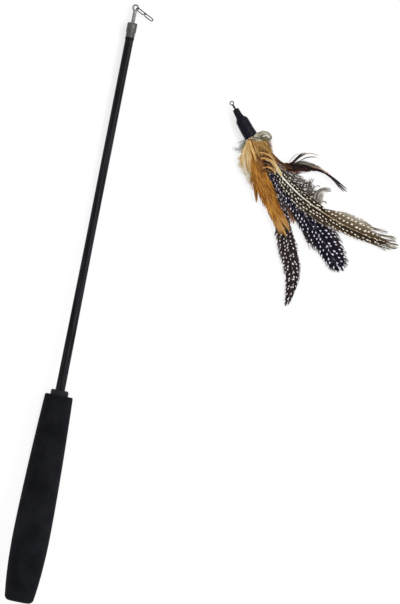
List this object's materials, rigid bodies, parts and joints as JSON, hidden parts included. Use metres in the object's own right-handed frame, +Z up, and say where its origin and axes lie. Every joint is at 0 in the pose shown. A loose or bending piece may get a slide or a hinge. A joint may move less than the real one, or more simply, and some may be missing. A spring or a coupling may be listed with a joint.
{
  "type": "cat teaser wand",
  "caption": "Slim teaser wand for cats with a barrel-shaped foam grip, a turning tip eye with a wire snap, and a clip-on lure of feathers lying beside it.",
  "frame": {"origin": "middle of the footprint of the whole set, on the surface it lies on", "axes": "+Y along the wand from the butt to the tip, +X towards the side where the lure lies, +Z up from the surface"},
  "size_m": [0.2651, 0.5, 0.0312],
  "materials": {
    "grip_foam": "matt closed-cell foam",
    "collar_rubber": "matt",
    "rod_black": "satin black blank",
    "ring_black": "matt",
    "ferrule_steel": "plated, dull",
    "swivel_steel": "plated",
    "washer_brass": "plain",
    "snap_wire": "dark spring wire",
    "lure_wire": "plain wire",
    "sleeve_black": "satin shrink tube",
    "glue_tan": "set glue",
    "feather_brown": "spotted feather",
    "feather_blue_black": "spotted feather",
    "feather_black_brown": "spotted feather",
    "feather_grey": "spotted feather",
    "feather_ginger": "hackle feather",
    "feather_cream": "downy feather",
    "feather_barred": "barred feather",
    "feather_dark_brown": "hackle feather",
    "feather_pale_grey": "downy feather"
  },
  "bodies": {
    "wand": {"grip": "grip_foam", "grip_collar": "collar_rubber", "rod": "rod_black", "rod_end_ring": "ring_black", "tip_ferrule": "ferrule_steel", "swivel_washer": "washer_brass"},
    "swivel": {"swivel_eye": "swivel_steel"},
    "snap": {"snap_spine": "snap_wire"},
    "snap_near": {"snap_arm_near": "snap_wire"},
    "snap_far": {"snap_arm_far": "snap_wire"},
    "lure": {"lure_eye": "lure_wire", "lure_sleeve": "sleeve_black", "quill_binding": "glue_tan", "guinea_wing_feather": "feather_brown", "guinea_dark_feather": "feather_blue_black", "guinea_slim_feather": "feather_black_brown", "guinea_plume": "feather_grey", "ginger_hackle_long": "feather_ginger", "ginger_hackle_short": "feather_ginger", "ginger_hackle_under": "feather_ginger", "cream_fluff": "feather_cream", "barred_feather": "feather_barred", "brown_hackle_upper": "feather_dark_brown", "brown_hackle_lower": "feather_dark_brown", "grey_curl": "feather_pale_grey", "grey_tuft": "feather_pale_grey"}
  },
  "joints": [
    {"name": "swivel_spin", "type": "hinge", "parent": "wand", "child": "swivel", "pos_m": [-0.11717, 0.24687, 0.00372], "axis": [0, 0.9996, -0.0271], "continuous": true},
    {"name": "snap_swing", "type": "hinge", "parent": "swivel", "child": "snap", "pos_m": [-0.11717, 0.24687, 0.00372], "axis": [0, 0.0271, 0.9996], "range_deg": [-22, 246]},
    {"name": "snap_near_open", "type": "hinge", "parent": "snap", "child": "snap_near", "pos_m": [-0.11514, 0.24433, 0.00207], "axis": [-0.2537, -0.4392, -0.8618], "range_deg": [0, 30], "stiffness_Nm_per_rad": 0.004},
    {"name": "snap_far_open", "type": "hinge", "parent": "snap", "child": "snap_far", "pos_m": [-0.10401, 0.23888, 0.00157], "axis": [0.2537, 0.4392, 0.8618], "range_deg": [0, 30], "stiffness_Nm_per_rad": 0.004},
    {"name": "lure_lift", "type": "slide", "parent": "wand", "child": "lure", "axis": [0, 0, 1], "range_m": [0, 0.1]}
  ]
}
